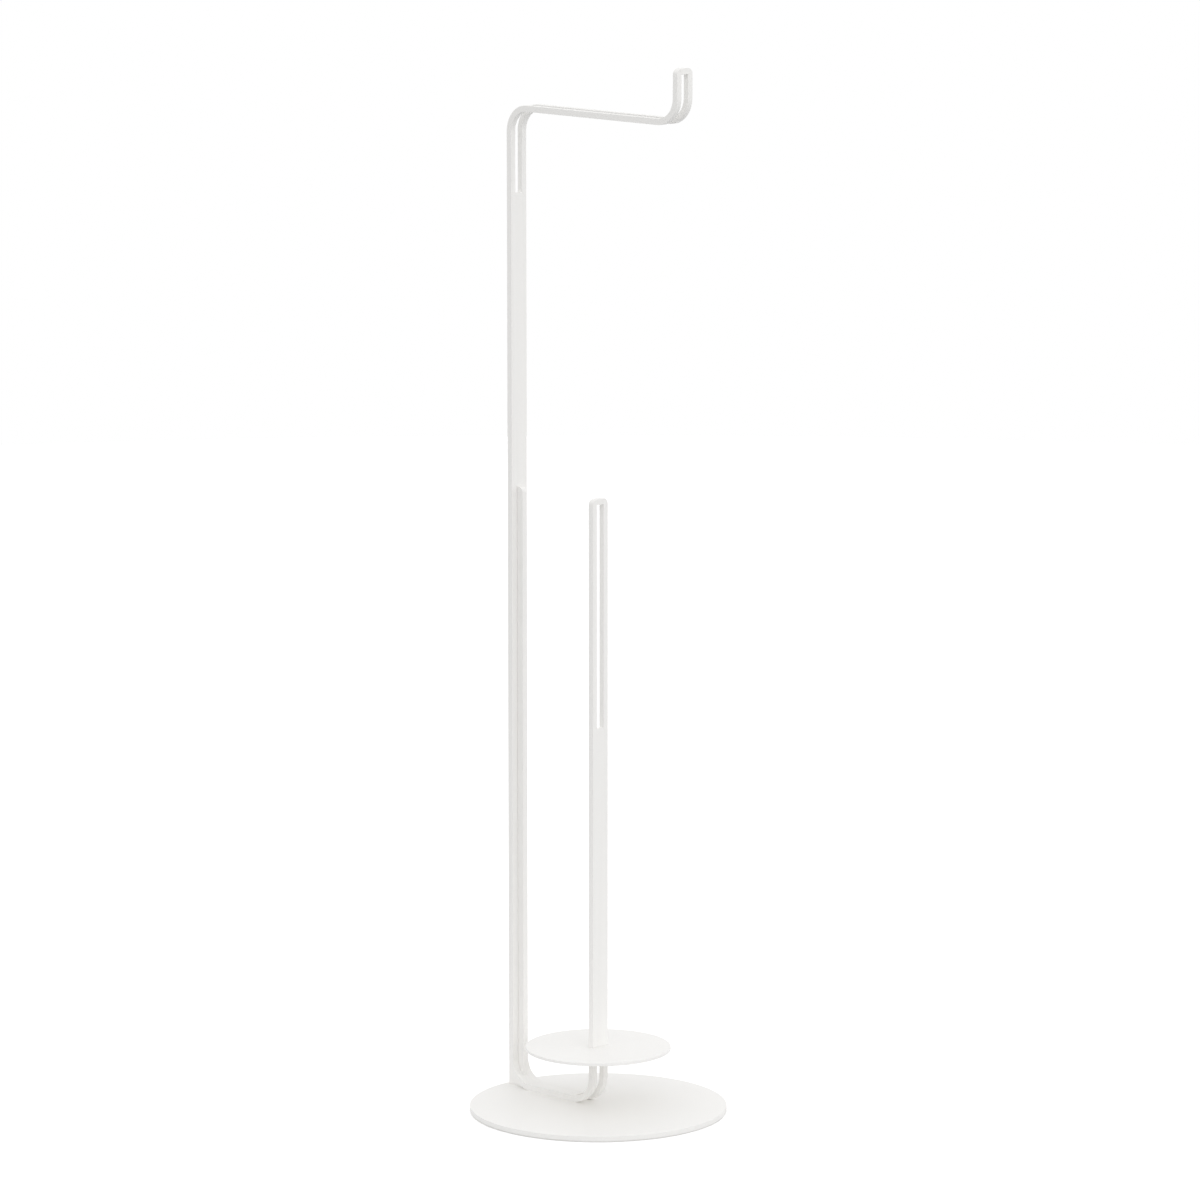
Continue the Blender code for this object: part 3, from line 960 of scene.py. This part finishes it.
@dataclass
class RollShelf(RoundPlate):
    """The thin round shelf for the spare rolls, with a slot that fits round the spindle."""

    name: str = "round_shelf"
    node: str = "roll_shelf"
    edge_radius: float = 0.00015
    bar_thickness: float = 0.0040
    spindle_clearance: float = 0.0001
    cut_overrun: float = 0.0010

    def build(self, finishes: Finishes) -> None:
        """Model the shelf, and dress it."""
        low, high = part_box(self.node)
        bar_low, bar_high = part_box("frame_bar")
        shelf = self.blank(low.z, high.z)
        clear_bench()
        bpy.ops.mesh.primitive_cube_add(
            size=1,
            location=(0, 0, (low.z + high.z) / 2),
            scale=(
                self.bar_thickness + 2 * self.spindle_clearance,
                bar_high.y - bar_low.y + 2 * self.spindle_clearance,
                high.z - low.z + 2 * self.cut_overrun,
            ),
        )
        shelf.cut(Workpiece("spindle_hole"))
        shelf.shade()
        shelf.fit(self.node, Slot.POWDER_COAT, finishes.coat)


@dataclass
class BasePlate(RoundPlate):
    """The round base plate, countersunk from below for the two screws."""

    name: str = "round_base"
    node: str = "base_plate"
    edge_radius: float = 0.00015

    def build(self, finishes: Finishes) -> None:
        """Model the base plate, and dress it."""
        low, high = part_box(self.node)
        plate = self.blank(low.z, high.z)
        BaseScrews().drill(plate)
        plate.shade()
        plate.fit(self.node, Slot.POWDER_COAT, finishes.coat)


@dataclass
class FloorPad(RoundPlate):
    """The thin rubber pad under the base plate."""

    name: str = "rubber_pad"
    node: str = "floor_pad"
    edge_radius: float = 0.0003

    def build(self, finishes: Finishes) -> None:
        """Model the pad up to the base plate's underside, and dress it."""
        pad = self.blank(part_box(self.node)[0].z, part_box("base_plate")[0].z)
        pad.shade()
        pad.fit(self.node, Slot.PAD_RUBBER, finishes.rubber)


@dataclass(frozen=True)
class Glow:
    """A soft light on one side of the sky, strongest in its middle."""

    towards: tuple[float, float, float]
    strength: float
    focus: float = 1.0

    def over(self, bench: NodeBench, direction: Socket, level: "float | Socket") -> Socket:
        """Return the sky's level with this glow added.

        Args:
            bench: The sky's bench.
            direction: The direction in which the sky is looked at.
            level: The level without this glow.

        Returns:
            The level with it.
        """
        inputs = {0: direction, 1: Vector(self.towards).normalized()}
        dot = bench.add("ShaderNodeVectorMath", inputs, operation="DOT_PRODUCT")
        facing = dot.outputs["Value"]
        falloff = bench.reckon("POWER", bench.reckon("MAXIMUM", facing, 0.0), self.focus)
        return bench.reckon("MULTIPLY_ADD", falloff, self.strength, level)


@dataclass
class Studio:
    """A white floor and backdrop, soft light, and a long lens at the photograph's angle.

    The floor's bounce is the share of the light that it sends back, near the holder and far out, a
    painted pool of light that is lighter near the holder.
    The pool's edge gives the distances between which the one turns into the other.
    """

    floor_radius: float = 3.0
    floor_sides: int = 96
    floor_glow: float = 0.2
    floor_bounce: tuple[float, float] = (0.70, 0.42)
    pool_edge: tuple[float, float] = (0.15, 0.70)
    bounces: int = 12
    sky_level: float = 0.575
    glows: tuple[Glow, ...] = (
        Glow((1, 0, 0), 0.52),
        Glow((0, 0, 1), 0.06, 4.0),
        Glow((0, 1, 0), 0.32),
        Glow((-1, 0, 0), 0.19),
        Glow((-1, 0, 1), 0.35, 4.0),
        Glow((0.00, -0.77, 0.64), 0.66, 12.0),
        Glow((0.59, -0.49, 0.64), 0.62, 12.0),
        Glow((0.75, 0.13, 0.64), 0.19, 12.0),
    )
    azimuth: float = math.radians(45)
    pitch: float = math.radians(9.977)
    distance: float = 4.300
    lens: float = 197.55
    sensor: float = 36.0
    target_height: float = 0.34278
    target_side: float = 0.001173
    clip_end: float = 50.0

    def build(self) -> None:
        """Set up the floor, the light and the camera."""
        self._lay_floor()
        self._paint_world()
        self._place_camera()
        self._let_light_bounce()

    def _lay_floor(self) -> None:
        """Lay a white floor that shows the holder's shadow and sends back a pool of light."""
        clear_bench()
        bpy.ops.mesh.primitive_circle_add(
            vertices=self.floor_sides, radius=self.floor_radius, fill_type="NGON"
        )
        floor = bpy.context.object
        floor.name = "floor"
        material = bpy.data.materials.new("white_floor")
        material.use_nodes = True
        bench = NodeBench(material.node_tree)
        bench.tree.nodes.remove(bench.tree.nodes["Principled BSDF"])
        place = bench.add("ShaderNodeTexCoord").outputs["Object"]
        length = bench.add("ShaderNodeVectorMath", {0: place}, operation="LENGTH")
        # Painted pool of light: the bounce colour is lighter near the holder.
        pool = bench.spread(
            length.outputs["Value"],
            self.pool_edge,
            self.floor_bounce,
            interpolation_type="SMOOTHSTEP",
        )
        bounced = bench.add("ShaderNodeBsdfDiffuse", {"Color": pool})
        painted = bench.add("ShaderNodeBsdfDiffuse", {"Color": (*WHITE, 1.0)})
        glow = bench.add("ShaderNodeEmission", {"Strength": self.floor_glow})
        seen = bench.add("ShaderNodeAddShader", {0: painted.outputs[0], 1: glow.outputs[0]})
        bench.show(bounced, seen, bench.tree.nodes["Material Output"])
        floor.data.materials.append(material)

    def _paint_world(self) -> None:
        """Make the backdrop white where it is seen, and light the holder with the glows' sum."""
        world = bpy.data.worlds.new("studio")
        bpy.context.scene.world = world
        world.use_nodes = True
        bench = NodeBench(world.node_tree)
        direction = bench.add("ShaderNodeTexCoord").outputs["Generated"]
        level: float | Socket = self.sky_level
        for glow in self.glows:
            level = glow.over(bench, direction, level)
        bench.tree.nodes.remove(bench.tree.nodes["Background"])
        white = (*WHITE, 1.0)
        sky = bench.add("ShaderNodeBackground", {"Color": white, "Strength": level})
        backdrop = bench.add("ShaderNodeBackground", {"Color": white})
        bench.show(sky, backdrop, bench.tree.nodes["World Output"])

    def _place_camera(self) -> None:
        """Place the long lens as it stood for the photograph."""
        data = bpy.data.cameras.new("camera")
        data.lens = self.lens
        data.sensor_width = self.sensor
        data.clip_end = self.clip_end
        camera = bpy.data.objects.new("camera", data)
        side = Vector((math.cos(self.azimuth), math.sin(self.azimuth), 0))
        level_back = Vector((math.sin(self.azimuth), -math.cos(self.azimuth), 0))
        back = level_back * math.cos(self.pitch) + UP * math.sin(self.pitch)
        target = UP * self.target_height + side * self.target_side
        camera.location = target + back * self.distance
        camera.rotation_euler = (QUARTER_TURN - self.pitch, 0, self.azimuth)
        bpy.context.scene.collection.objects.link(camera)
        bpy.context.scene.camera = camera
        bpy.context.scene.view_settings.view_transform = "Standard"

    def _let_light_bounce(self) -> None:
        """Let the light bounce so often that narrow places between white faces stay light."""
        bpy.context.scene.cycles.diffuse_bounces = self.bounces


def main() -> None:
    """Build the studio and the holder."""
    logging.basicConfig(level=logging.INFO, format="%(message)s")
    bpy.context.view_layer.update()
    Studio().build()
    finishes = Finishes()
    assemblies = (FloorPad(), BasePlate(), BaseScrews(), FrameBar(), PostStiffener(), RollShelf())
    for assembly in assemblies:
        assembly.build(finishes)


if __name__ == "__main__":
    main()
